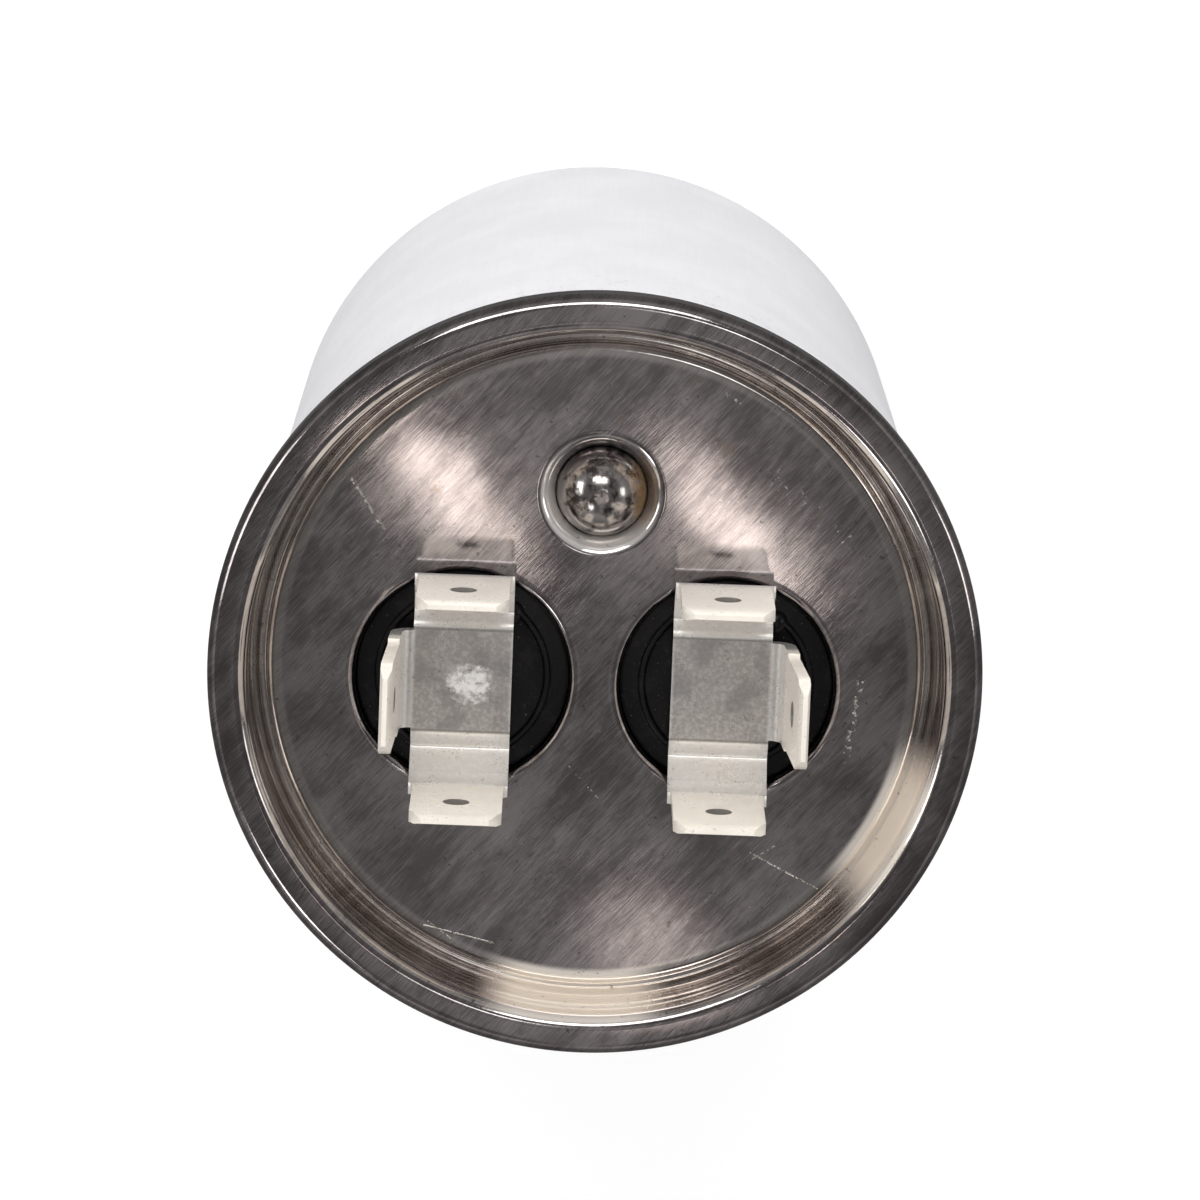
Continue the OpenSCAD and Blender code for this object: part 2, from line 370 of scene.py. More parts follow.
    def finish(
        self,
        colour: object,
        rough: object,
        metal: object = 0.0,
        normal: Socket | None = None,
        **plain: object,
    ) -> bpy.types.Material:
        """Joins the values to the shader.

        Args:
            colour: Base colour.
            rough: Roughness.
            metal: Metallic value.
            normal: Bumped normal.
            **plain: Values for other sockets of the shader, with _ for a space.

        Returns:
            The material.
        """
        self.feed(self.shader.inputs["Base Color"], colour)
        self.feed(self.shader.inputs["Roughness"], rough)
        self.feed(self.shader.inputs["Metallic"], metal)
        if normal:
            self.feed(self.shader.inputs["Normal"], normal)
        for key, value in plain.items():
            self.feed(self.shader.inputs[key.replace("_", " ")], value)
        return self.material


@dataclass(frozen=True)
class Tinplate:
    """Dark reflective tinplate of the lid, with rolling grain, stains and scratches, and painted
    reflection and highlights on the wall and the well's mouth.
    """

    panel_z: float
    dark: Colour = (0.27, 0.245, 0.25)
    light: Colour = (0.60, 0.555, 0.56)
    stained: Colour = (0.40, 0.345, 0.32)
    # Two ends of the painted reflection on the wall, whose base colour is made lighter where
    # reflections show.
    painted_reflection_dark: Colour = (0.60, 0.56, 0.545)
    painted_reflection_light: Colour = (0.84, 0.795, 0.76)
    # Colour of the painted highlight on two stretches of the wall.
    painted_gold_highlight: Colour = (0.97, 0.90, 0.82)
    # Colour of the painted highlight on the well's mouth.
    well_mouth: Colour = (0.92, 0.88, 0.85)
    speckled: Colour = (0.80, 0.77, 0.74)
    pitted: Colour = (0.14, 0.125, 0.125)
    scraped: Colour = (0.95, 0.90, 0.82)
    wall_r: tuple[float, float] = (21.6, 24.3)
    # Direction and range of each painted highlight on the wall.
    painted_highlight_ways: tuple = ((-0.03, -1.0, (0.955, 0.992)), (0.89, -0.45, (0.955, 0.994)))
    well: tuple[float, float] = (0.0, 12.2)
    well_r: tuple[float, float] = (4.35, 4.1)

    def scratches(self, s: NodeSketch) -> Socket:
        """Mask of the scratches, which only the panel's upper side has.

        Args:
            s: The material's sketch.

        Returns:
            The mask.
        """
        marks = [
            s.scratch(*mark)
            for mark in (
                ((-11.3, -19.0), (-6.4, -20.1), 0.09, 0.34),
                ((-11.0, -18.7), (-9.3, -19.9), 0.07, 0.40),
                ((11.4, -12.9), (16.2, -15.3), 0.07, 0.40),
                ((11.2, -13.6), (13.2, -12.3), 0.07, 0.46),
                ((18.6, -0.2), (17.8, -6.0), 0.34, 0.53),
                ((-17.3, 12.6), (-15.0, 9.2), 0.14, 0.44),
                ((8.2, 19.6), (9.4, 18.9), 0.14, 0.46),
                ((12.0, 13.8), (17.2, 9.6), 0.8, 0.60),
                ((-1.5, -7.2), (0.6, -9.4), 0.06, 0.52),
            )
        ]
        worn = marks[0]
        for mark in marks[1:]:
            worn = s.math("MAXIMUM", worn, mark)
        z = s.axes()[2]
        over = s.level(z, self.panel_z - 0.3, self.panel_z - 0.1, Ramp.STRAIGHT)
        under = s.level(z, self.panel_z + 0.4, self.panel_z + 0.2, Ramp.STRAIGHT)
        return s.product(worn, s.product(over, under))

    def painted_highlight_mask(self, s: NodeSketch, reach: Socket, wall: Socket) -> Socket:
        """Mask of the two gold-toned painted highlights on the wall, each placed by its
        direction.

        Args:
            s: The material's sketch.
            reach: Distance from the lid's axis.
            wall: Mask of the wall.

        Returns:
            The mask.
        """
        x, y, _ = s.axes()
        shine = [
            s.level(s.math("DIVIDE", s.weigh((x, u), (y, v)), reach), *ends)
            for u, v, ends in self.painted_highlight_ways
        ]
        return s.product(s.math("MAXIMUM", *shine), wall)

    def painted_mouth_highlight(self, s: NodeSketch) -> Socket:
        """Mask of the painted highlight on the well's mouth, strongest toward the front left.

        Args:
            s: The material's sketch.

        Returns:
            The mask.
        """
        x, y, _ = s.axes()
        front_left = s.weigh((x, -0.09), (s.math("SUBTRACT", y, self.well[1]), -0.17))
        strength = s.spread(s.level(front_left, -0.6, 0.6), 0.25, 1.0)
        return s.product(s.level(s.reach(self.well), *self.well_r), strength)

    def build(self) -> bpy.types.Material:
        """Makes the lid's material.

        Returns:
            The material.
        """
        s = NodeSketch("lid_tinplate")
        fine = s.grain(0.8, 11.0, 48.0, 4.0)
        broad = s.grain(0.12, 1.1, 50.0, 2.0)
        cloud = s.noise(0.16, 5.0, 0.6)
        stain = s.noise(0.55, 6.0, 0.7)
        tone = s.weigh((fine, 0.42), (cloud, 0.58))
        tone = s.math("ADD", tone, s.product(s.math("SUBTRACT", broad, 0.5), 0.3))
        colour = s.blend(s.level(tone, 0.36, 0.64), self.dark, self.light)
        colour = s.blend(s.level(stain, 0.56, 0.72), colour, self.stained)
        specks = s.product(s.level(s.noise(4.6, 2.0), 0.68, 0.74), s.level(cloud, 0.36, 0.60))
        pits = s.level(s.noise(2.3, 3.0, 0.6, s.mapped(s.mm, shift=(7, 3, 1))), 0.335, 0.29)
        worn = self.scratches(s)
        reach = s.reach((0.0, 0.0))
        inner, outer = self.wall_r
        wall = s.product(s.level(reach, inner, inner + 0.5), s.level(reach, outer + 0.4, outer))
        # Painted reflection: the wall between the panel and the seam gets a lighter base colour
        # in place of the light it reflects.
        painted_wall_reflection = s.blend(s.level(tone, 0.36, 0.7), self.painted_reflection_dark, self.painted_reflection_light)
        colour = s.blend(wall, colour, painted_wall_reflection)
        # Painted highlight: two gold-toned stretches of the wall, placed by direction, stand in
        # for lamp light.
        painted_gold_highlight = self.painted_highlight_mask(s, reach, wall)
        colour = s.blend(painted_gold_highlight, colour, self.painted_gold_highlight)
        # Painted highlight on the well's mouth, lightest toward the front left.
        mouth = self.painted_mouth_highlight(s)
        colour = s.blend(mouth, colour, self.well_mouth)
        colour = s.blend(s.product(specks, 0.7), colour, self.speckled)
        colour = s.blend(s.product(pits, 0.6), colour, self.pitted)
        colour = s.blend(s.product(worn, 0.85), colour, self.scraped)
        rough = s.spread(s.weigh((fine, 0.6), (cloud, 0.4)), 0.04, 0.125)
        rough = s.math("ADD", rough, s.product(worn, 0.3))
        normal = s.bump(s.noise(0.10, 2.0, 0.4), 0.035)
        normal = s.bump(fine, 0.0022, normal)
        normal = s.bump(worn, 0.02, normal)
        # The painted highlights are made less metallic so that their pale colour shows.
        painted_highlight_matte = s.weigh((painted_gold_highlight, 0.55), (mouth, 0.4))
        return s.finish(colour, rough, s.math("SUBTRACT", 1.0, painted_highlight_matte), normal)


@dataclass(frozen=True)
class PaleAluminium:
    """Pale satin finish of the drawn can, with faint drawing lines and dark specks at the rim."""

    light: Colour = (0.91, 0.905, 0.93)
    dull: Colour = (0.86, 0.855, 0.885)
    specked: Colour = (0.50, 0.49, 0.51)
    rim_z: float = 87.0
    specked_height: float = 34.0

    def build(self) -> bpy.types.Material:
        """Makes the can's material.

        Returns:
            The material.
        """
        s = NodeSketch("can_aluminium")
        drawn = s.noise(1.0, 3.0, 0.6, s.mapped(s.mm, scale=(4.0, 4.0, 0.12)))
        cloud = s.noise(0.12, 4.0, 0.6)
        tone = s.weigh((drawn, 0.35), (cloud, 0.65))
        colour = s.blend(s.level(tone, 0.35, 0.68), self.dull, self.light)
        near = s.level(s.axes()[2], self.rim_z - self.specked_height, self.rim_z)
        specks = s.level(s.noise(1.7, 5.0, 0.7, s.mapped(s.mm, scale=(1, 1, 0.45))), 0.57, 0.67)
        colour = s.blend(s.product(specks, near, 0.6), colour, self.specked)
        rough = s.spread(tone, 0.38, 0.55)
        normal = s.bump(drawn, 0.004)
        normal = s.bump(cloud, 0.03, normal)
        return s.finish(colour, rough, 0.12, normal)


@dataclass(frozen=True)
class TinPlating:
    """Tin plating of a terminal: cream blades, a greyer speckled plate and a weld mark, with
    painted shade in the detent hole walls and along the plate's bends.
    """

    name: str
    centre: tuple[float, float]
    plate_top: float
    welded: bool
    half: tuple[float, float] = (3.45, 3.62)
    blade: Colour = (0.985, 0.925, 0.835)
    blade_worn: Colour = (0.93, 0.86, 0.77)
    leg: Colour = (0.88, 0.86, 0.83)
    leg_light: Colour = (0.97, 0.95, 0.93)
    plate: Colour = (0.62, 0.585, 0.565)
    plate_light: Colour = (0.82, 0.785, 0.76)
    plate_stain: Colour = (0.36, 0.345, 0.35)
    # Painted shade on the wall of each detent hole.
    painted_hole_shade: Colour = (0.008, 0.007, 0.006)
    # Painted shade along the plate's bends.
    painted_crease_shade: Colour = (0.16, 0.135, 0.12)
    dirt: Colour = (0.16, 0.13, 0.10)
    weld: Colour = (0.97, 0.95, 0.935)
    stain: float = 0.5
    hole_z: float = 7.1
    hole_r: tuple[float, float] = (0.97, 0.87)
    weld_r: tuple[float, float] = (3.6, 2.6)
    weld_shift: tuple[float, float] = (0.5, -0.2)

    def hole(self, s: NodeSketch, across: Socket, z: Socket, where: Socket) -> Socket:
        """Mask of the painted shade on the wall of a detent hole, which is coloured near black.

        Args:
            s: The material's sketch.
            across: Distance across the blade from the hole's axis.
            z: Height over the plate.
            where: Mask of the blades that have the hole.

        Returns:
            The mask.
        """
        gap = s.math("SUBTRACT", z, self.hole_z)
        reach = s.math("SQRT", s.math("ADD", s.product(across, across), s.product(gap, gap)))
        return s.product(s.level(reach, *self.hole_r), where)

    def weld_mark(self, s: NodeSketch, flat: Socket) -> Socket:
        """Mask of the ragged pale mark that a weld left on the plate.

        Args:
            s: The material's sketch.
            flat: Mask of the plate's top.

        Returns:
            The mask.
        """
        x, y = (-self.centre[0] - self.weld_shift[0], -self.centre[1] - self.weld_shift[1])
        spot = s.mapped(s.mm, shift=(x, y, -self.plate_top))
        spot = s.mapped(spot, scale=(1.0, 1.25, 1.0))
        reach = s.node("ShaderNodeVectorMath", operation="LENGTH")
        s.feed(reach.inputs[0], spot)
        uneven = s.product(s.noise(1.6, 5.0, 0.8), 3.2)
        ragged = s.math("ADD", reach.outputs["Value"], uneven)
        crumbs = s.level(s.noise(1.5, 5.0, 0.75), 0.34, 0.54)
        return s.product(s.level(ragged, *self.weld_r), flat, crumbs)

    def build(self) -> bpy.types.Material:
        """Makes the terminal's material.

        Returns:
            The material.
        """
        s = NodeSketch(self.name)
        shift = (-self.centre[0], -self.centre[1], -self.plate_top)
        x, y, z = s.axes(s.mapped(s.mm, shift=shift))
        aside, along = s.math("ABSOLUTE", x), s.math("ABSOLUTE", y)
        inside = s.product(
            s.level(aside, self.half[0] + 0.05, self.half[0] - 0.25),
            s.level(along, self.half[1] + 0.05, self.half[1] - 0.2),
        )
        flat = s.product(inside, s.level(z, 0.5, 0.1))
        speck = s.noise(3.4, 4.0, 0.65)
        cloud = s.noise(0.5, 3.0, 0.5)
        plate = s.blend(s.level(speck, 0.42, 0.66), self.plate, self.plate_light)
        patches = s.noise(0.35, 3.0, 0.5, s.mapped(s.mm, shift=(3, 8, 0)))
        stained = s.product(s.level(patches, 0.45, 0.6), self.stain)
        plate = s.blend(stained, plate, self.plate_stain)
        blade = s.blend(s.level(cloud, 0.35, 0.7), self.blade, self.blade_worn)
        leg = s.blend(s.level(speck, 0.4, 0.7), self.leg, self.leg_light)
        up = s.level(z, 1.3, 2.6)
        colour = s.blend(flat, s.blend(up, leg, blade), plate)
        # Painted shade: each detent hole's wall is coloured near black and not metallic.
        hole_shade_mask = s.math(
            "MAXIMUM",
            self.hole(s, x, z, s.level(along, 4.5, 5.0)),
            self.hole(s, y, z, s.level(aside, 3.8, 4.2)),
        )
        colour = s.blend(hole_shade_mask, colour, self.painted_hole_shade)
        # Painted shade: a dark band along the plate's bends down to the legs.
        edge = s.math("ABSOLUTE", s.math("SUBTRACT", along, self.half[1]))
        crease_shade_mask = s.product(s.level(edge, 0.16, 0.04), s.level(z, 0.6, 0.2))
        colour = s.blend(s.product(crease_shade_mask, 0.6), colour, self.painted_crease_shade)
        dirt = s.product(s.level(s.noise(2.2, 5.0, 0.7), 0.62, 0.70), 0.5)
        colour = s.blend(dirt, colour, self.dirt)
        rough = s.spread(s.weigh((speck, 0.5), (cloud, 0.5)), 0.20, 0.38)
        metal = s.math("SUBTRACT", 0.72, s.product(up, 0.60))
        metal = s.math("ADD", metal, s.product(flat, 0.06))
        metal = s.product(metal, s.math("SUBTRACT", 1.0, hole_shade_mask))
        relief = speck
        if self.welded:
            mark = self.weld_mark(s, flat)
            colour = s.blend(s.product(mark, 0.8), colour, self.weld)
            metal = s.math("SUBTRACT", metal, s.product(mark, 0.7))
            relief = s.math("ADD", speck, mark)
        normal = s.bump(relief, 0.012)
        normal = s.bump(cloud, 0.03, normal)
        return s.finish(colour, rough, metal, normal)


@dataclass(frozen=True)
class BlackMoulding:
    """Glossy black moulded bush with dust and fine flow marks."""

    base: Colour = (0.006, 0.0055, 0.006)
    cloudy: Colour = (0.013, 0.012, 0.013)
    dusty: Colour = (0.30, 0.29, 0.28)

    def build(self) -> bpy.types.Material:
        """Makes the bush's material.

        Returns:
            The material.
        """
        s = NodeSketch("bush_phenolic")
        cloud = s.noise(0.5, 4.0, 0.6)
        dust = s.level(s.noise(4.5, 3.0, 0.6), 0.68, 0.74)
        colour = s.blend(s.product(dust, 0.35), self.base, self.dusty)
        colour = s.blend(s.level(cloud, 0.5, 0.75), colour, self.cloudy)
        rough = s.math("ADD", s.spread(cloud, 0.16, 0.36), s.product(dust, 0.3))
        normal = s.bump(s.noise(1.4, 4.0, 0.6), 0.02)
        return s.finish(colour, rough, 0.0, normal, Specular_IOR_Level=0.3)


@dataclass(frozen=True)
class StainedSteel:
    """Polished ball with dark mottling and an amber tint on its right side."""

    centre: tuple[float, float]
    base: Colour = (0.55, 0.52, 0.505)
    mottled: Colour = (0.13, 0.115, 0.11)
    smeared: Colour = (0.85, 0.82, 0.79)
    amber: Colour = (0.30, 0.17, 0.055)

    def build(self) -> bpy.types.Material:
        """Makes the ball's material.

        Returns:
            The material.
        """
        s = NodeSketch("ball_steel")
        cloud = s.noise(0.9, 5.0, 0.7)
        smear = s.noise(1.0, 4.0, 0.65, s.mapped(s.mm, scale=(1.6, 0.5, 1.0), turn=30))
        colour = s.blend(s.level(cloud, 0.48, 0.62), self.base, self.mottled)
        colour = s.blend(s.product(s.level(smear, 0.58, 0.72), 0.6), colour, self.smeared)
        x = s.axes(s.mapped(s.mm, shift=(-self.centre[0], -self.centre[1], 0)))[0]
        uneven = s.product(s.noise(1.2, 4.0, 0.7), 2.4)
        side = s.level(s.math("ADD", x, uneven), 3.1, 3.9)
        colour = s.blend(s.product(side, 0.8), colour, self.amber)
        rough = s.math("ADD", s.spread(cloud, 0.08, 0.26), s.product(side, 0.15))
        metal = s.spread(side, 1.0, 0.45)
        return s.finish(colour, rough, metal, s.bump(smear, 0.012))


@dataclass(frozen=True)
class PlainFinish:
    """A finish with grain, cloudy colour and a bump, for the pieces sealed inside."""

    name: str
    low: Colour
    high: Colour
    rough: tuple[float, float] = (0.4, 0.6)
    metal: float = 0.0
    stretch: tuple[float, float, float] = (1.0, 1.0, 1.0)
    scale: float = 1.0
    depth: float = 0.02

    def build(self) -> bpy.types.Material:
        """Makes the material.

        Returns:
            The material.
        """
        s = NodeSketch(self.name)
        fine = s.noise(self.scale, 5.0, 0.6, s.mapped(s.mm, scale=self.stretch))
        cloud = s.noise(0.15, 3.0, 0.5)
        tone = s.weigh((fine, 0.6), (cloud, 0.4))
        colour = s.blend(s.level(tone, 0.35, 0.68), self.low, self.high)
        return s.finish(colour, s.spread(fine, *self.rough), self.metal, s.bump(fine, self.depth))


# ---------------------------------------------------------------- shape helpers


@dataclass(frozen=True)
class Corner:
    """A point of a section, in millimetres, and the radius that its corner is rounded to."""

    r: float
    z: float
    radius: float = 0.0


def add_section(
    bm: bmesh.types.BMesh, corners: list[Corner], steps: int, closed: bool
) -> list:
    """Draws a section in the XZ plane as wire, with rounded corners.

    Args:
        bm: The mesh to draw in.
        corners: The section's points.
        steps: Facets to a rounded corner.
        closed: Joins the last point to the first.

    Returns:
        The wire's vertices and edges.
    """
    before = set(bm.verts)
    verts = [bm.verts.new((c.r * MM, 0, c.z * MM)) for c in corners]
    pairs = list(zip(verts, verts[1:])) + ([(verts[-1], verts[0])] if closed else [])
    for a, b in pairs:
        bm.edges.new((a, b))
    count = len(corners)
    for i, (corner, vert) in enumerate(zip(corners, verts)):
        if not corner.radius:
            continue
        p, q = corners[i - 1], corners[(i + 1) % count]
        a = Vector((corner.r - p.r, corner.z - p.z))
        b = Vector((q.r - corner.r, q.z - corner.z))
        cut = corner.radius * math.tan(a.angle(b) / 2)
        bmesh.ops.bevel(
            bm,
            geom=[vert],
            offset=cut * MM,
            offset_type="OFFSET",
            segments=steps,
            profile=0.5,
            affect="VERTICES",
            material=-1,
        )
    new = [v for v in bm.verts if v not in before]
    return new + list({e for v in new for e in v.link_edges})


def spin_section(
    bm: bmesh.types.BMesh,
    corners: list[Corner],
    turns: int,
    steps: int,
    closed: bool = False,
    centre: tuple[float, float] = (0.0, 0.0),
) -> None:
    """Revolves a section about a vertical axis and closes its seam.

    Args:
        bm: The mesh to add to.
        corners: The section.
        turns: Facets round the axis.
        steps: Facets to a rounded corner.
        closed: True for a section that is a closed loop.
        centre: The axis, in millimetres.
    """
    part = bmesh.new()
    wire = add_section(part, corners, steps, closed)
    bmesh.ops.spin(
        part,
        geom=wire,
        axis=(0, 0, 1),
        cent=(0, 0, 0),
        angle=math.tau,
        steps=turns,
        use_merge=True,
        use_duplicate=False,
    )
    bmesh.ops.remove_doubles(part, verts=part.verts[:], dist=MERGE_GAP)
    bmesh.ops.translate(part, verts=part.verts[:], vec=(centre[0] * MM, centre[1] * MM, 0))
    scratch = bpy.data.meshes.new("spun")
    part.to_mesh(scratch)
    part.free()
    bm.from_mesh(scratch)
    bpy.data.meshes.remove(scratch)


def smooth_by_angle(bm: bmesh.types.BMesh) -> None:
    """Shades faces smooth and keeps edges over the sharp angle sharp.

    Args:
        bm: The mesh.
    """
    limit = math.radians(SHARP_ANGLE)
    for face in bm.faces:
        face.smooth = True
    for edge in bm.edges:
        edge.smooth = not (len(edge.link_faces) == 2 and edge.calc_face_angle(0.0) > limit)


def add_object(
    name: str, bm: bmesh.types.BMesh, material: bpy.types.Material
) -> bpy.types.Object:
    """Turns a bmesh into an object of the scene.

    Args:
        name: The object's name.
        bm: Its mesh, in metres; it is freed here.
        material: Its finish.

    Returns:
        The object.
    """
    mesh = bpy.data.meshes.new(name)
    bm.to_mesh(mesh)
    bm.free()
    mesh.materials.append(material)
    made = bpy.data.objects.new(name, mesh)
    bpy.context.scene.collection.objects.link(made)
    return made


def make_piece(
    name: str, bm: bmesh.types.BMesh, material: bpy.types.Material, node: str
) -> bpy.types.Object:
    """Turns a bmesh into a piece that rides on the frame in place of a CAD node.

    Args:
        name: The piece's name.
        bm: Its mesh, in metres; it is freed here.
        material: Its finish.
        node: The CAD node that it stands for.

    Returns:
        The object.
    """
    smooth_by_angle(bm)
    piece = add_object(name, bm, material)
    flats = piece.modifiers.new("flats_stay_flat", "WEIGHTED_NORMAL")
    flats.weight, flats.keep_sharp = 100, True
    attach(piece, "root")
    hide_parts(node)
    return piece


def middle(node: str) -> tuple[float, float]:
    """The centre of a CAD node's box in plan, in millimetres."""
    low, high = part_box(node)
    return (low.x + high.x) / 2 / MM, (low.y + high.y) / 2 / MM


# ---------------------------------------------------------------- sub-assemblies


@dataclass
class SeamedCan:
    """The drawn can, its lid with the rolled seam, and the fill ball; sizes in millimetres."""

    turns: int = 288
    wall: float = 0.5
    base: float = 0.8
    fold_drop: float = 0.64
    fold_wall: float = 0.52
    fold_step: float = 0.65
    fold_end: float = 2.35
    sheet: float = 0.45
    panel_drop: float = 4.66
    groove_drop: float = 5.70
    groove_inset: tuple[float, float] = (2.15, 1.55)
    wall_inset: float = 0.95
    curl_depth: float = 3.27
    hook_inset: float = 1.65
    hook_drop: float = 1.66
    collar_turns: int = 144
    bush_hole: float = 7.49
    collar_depth: float = 2.2
    well_turns: int = 96
    well_mouth: float = 4.05
    ball_gap: float = 0.03
    pressed: float = 0.985

    def __post_init__(self) -> None:
        """Reads the places from the frame."""
        self.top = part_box("lid")[1].z / MM
        self.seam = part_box("lid")[1].x / MM
        mount = next(m for m in frame["record"]["mounts"] if m["name"] == "strap_seat")
        self.radius = mount["dims"]["r_mm"]
        self.panel = self.top - self.panel_drop

    def can(self) -> bpy.types.Object:
        """Makes the can: flat base, rounded corner, plain wall and the fold inside the seam.

        Returns:
            The can's piece.
        """
        r, t = self.radius, self.wall
        fold = self.top - self.fold_drop
        under = fold - self.fold_wall
        step = r + self.fold_step
        end = self.top - self.fold_end
        section = [
            Corner(0, 0),
            Corner(r, 0, 2.0),
            Corner(r, under, 0.3),
            Corner(step, under, 0.3),
            Corner(step, end),
            Corner(step + t, end),
            Corner(step + t, fold, 0.8),
            Corner(r - t, fold, 0.8),
            Corner(r - t, self.base, 1.5),
            Corner(0, self.base),
        ]
        bm = bmesh.new()
        spin_section(bm, section, self.turns, 8)
        bmesh.ops.recalc_face_normals(bm, faces=bm.faces[:])
        return make_piece("can_body", bm, PaleAluminium().build(), "can")

    def rim(self) -> list[Corner]:
        """The lid's section from the panel's edge over the groove, wall and crest to the hook.

        Returns:
            The section's points.
        """
        top, groove = self.top, self.top - self.groove_drop
        groove_in, groove_out = [self.radius - inset for inset in self.groove_inset]
        wall = self.radius - self.wall_inset
        curl = top - self.curl_depth
        hook = self.seam - self.hook_inset
        return [
            Corner(self.radius - 3.1, self.panel),
            Corner(groove_in, self.panel, 0.6),
            Corner(groove_in, groove, 0.29),
            Corner(groove_out, groove, 0.29),
            Corner(wall, top - 2.0, 6.0),
            Corner(wall, top, 0.95),
            Corner(self.seam, top, 0.9),
            Corner(self.seam, curl, 0.82),
            Corner(hook, curl, 0.82),
            Corner(hook, top - self.hook_drop),
        ]

    def collar(self) -> list[Corner]:
        """The section of a collar that is drawn down round a bush.

        Returns:
            The section's points.
        """
        return [
            Corner(self.bush_hole + 0.8, self.panel),
            Corner(self.bush_hole, self.panel, 0.5),
            Corner(self.bush_hole, self.panel - self.collar_depth),
        ]

    def well(self) -> list[Corner]:
        """The section of the well that holds the fill ball.

        Returns:
            The section's points.
        """
        low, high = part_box("fill_ball")
        seat = (high.x - low.x) / 2 / MM + self.ball_gap
        return [
            Corner(self.well_mouth + 0.5, self.panel),
            Corner(self.well_mouth - 0.15, self.panel, 0.9),
            Corner(seat, self.panel - 1.35, 0.35),
            Corner(seat, self.panel - 3.55, 0.25),
            Corner(2.45, self.panel - 3.7),
        ]

    def lid(self) -> bpy.types.Object:
        """Makes the lid: turned stretches joined by the flat panel, then given its thickness.

        Returns:
            The lid's piece.
        """
        bm = bmesh.new()
        spin_section(bm, self.rim(), self.turns, 10)
        for node in ("left_bush", "right_bush"):
            spin_section(bm, self.collar(), self.collar_turns, 8, centre=middle(node))
        spin_section(bm, self.well(), self.well_turns, 8, centre=middle("fill_ball"))
        level = self.panel * MM
        loops = [
            e
            for e in bm.edges
            if e.is_boundary and all(abs(v.co.z - level) < MERGE_GAP for v in e.verts)
        ]
        bmesh.ops.triangle_fill(bm, use_beauty=True, use_dissolve=False, edges=loops)
        bmesh.ops.remove_doubles(bm, verts=bm.verts[:], dist=MERGE_GAP)
        bmesh.ops.recalc_face_normals(bm, faces=bm.faces[:])
        face = max(bm.faces, key=lambda f: f.calc_area())
        if face.normal.z < 0:
            bmesh.ops.reverse_faces(bm, faces=bm.faces[:])
        bmesh.ops.solidify(bm, geom=bm.faces[:], thickness=self.sheet * MM)
        finish = Tinplate(self.panel).build()
        return make_piece("lid_sheet", bm, finish, "lid")

    def ball(self) -> bpy.types.Object:
        """Makes the steel ball, with a small flat where it was pressed home.

        Returns:
            The ball's piece.
        """
        low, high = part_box("fill_ball")
        centre, size = (low + high) / 2, (high.x - low.x) / 2
        bm = bmesh.new()
        bmesh.ops.create_uvsphere(bm, u_segments=96, v_segments=64, radius=size)
        flat = size * self.pressed
        for vert in bm.verts:
            vert.co.z = min(vert.co.z, flat)
        bmesh.ops.translate(bm, verts=bm.verts[:], vec=centre)
        finish = StainedSteel(middle("fill_ball")).build()
        return make_piece("fill_ball_steel", bm, finish, "fill_ball")


